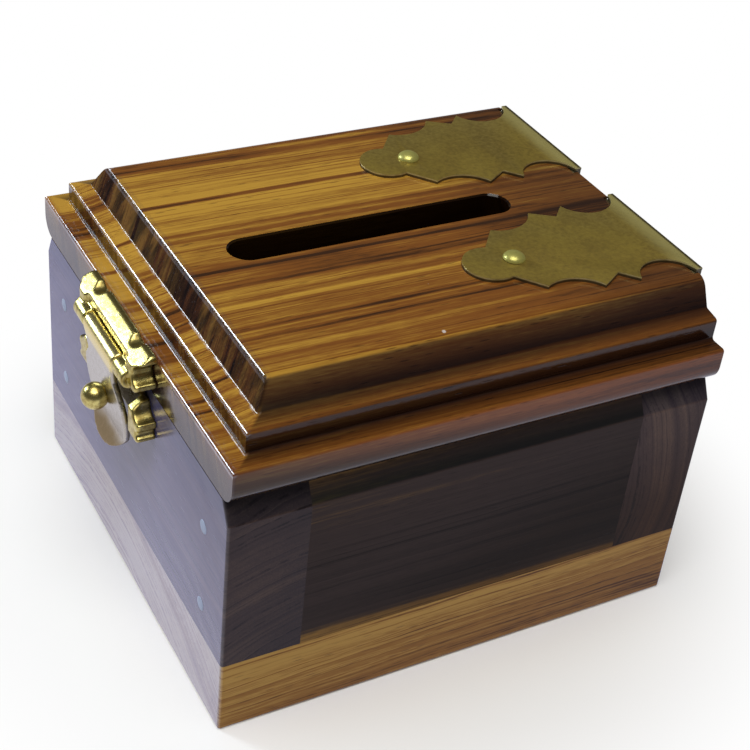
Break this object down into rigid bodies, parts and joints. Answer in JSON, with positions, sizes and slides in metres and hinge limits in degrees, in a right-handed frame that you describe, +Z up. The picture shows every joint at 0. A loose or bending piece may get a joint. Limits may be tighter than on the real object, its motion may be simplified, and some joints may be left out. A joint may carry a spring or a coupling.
{
  "type": "wooden money box",
  "caption": "Small walnut money box: pinned wooden walls on a thick base, a hinged stepped lid with a coin slot, scalloped brass hinges and a brass hasp with a swinging flap.",
  "frame": {"origin": "centre of the underside of the wooden bottom board", "axes": "+Z up, -Y out of the front face that carries the hasp, +Y towards the hinges, +X to the right"},
  "size_m": [0.0622, 0.0732, 0.0485],
  "materials": {
    "wood": "gloss lacquer",
    "joint_pin": "dull",
    "hinge_brass": "antique satin",
    "hasp_brass": "polished"
  },
  "bodies": {
    "box": {"bottom_board": "wood", "front_board": "wood", "back_board": "wood", "left_side_board": "wood", "right_side_board": "wood", "front_joint_pins": "joint_pin", "back_joint_pins": "joint_pin", "left_hinge_back_leaf": "hinge_brass", "right_hinge_back_leaf": "hinge_brass", "left_hinge_pin": "hinge_brass", "right_hinge_pin": "hinge_brass", "hinge_back_nails": "hinge_brass", "hasp_body_plate": "hasp_brass"},
    "lid": {"lid_panel": "wood", "left_hinge_lid_leaf": "hinge_brass", "right_hinge_lid_leaf": "hinge_brass", "hinge_lid_nails": "hinge_brass", "hasp_lid_plate": "hasp_brass", "hasp_pivot_pin": "hasp_brass"},
    "flap": {"hasp_flap": "hasp_brass", "hasp_knob": "hasp_brass"}
  },
  "joints": [
    {"name": "lid_hinge", "type": "hinge", "parent": "box", "child": "lid", "pos_m": [0, 0.0326, 0.04595], "axis": [-1, 0, 0], "range_deg": [0, 95]},
    {"name": "flap_hinge", "type": "hinge", "parent": "lid", "child": "flap", "pos_m": [-0.0006, -0.0355, 0.03735], "axis": [-1, 0, 0], "range_deg": [0, 115]}
  ]
}
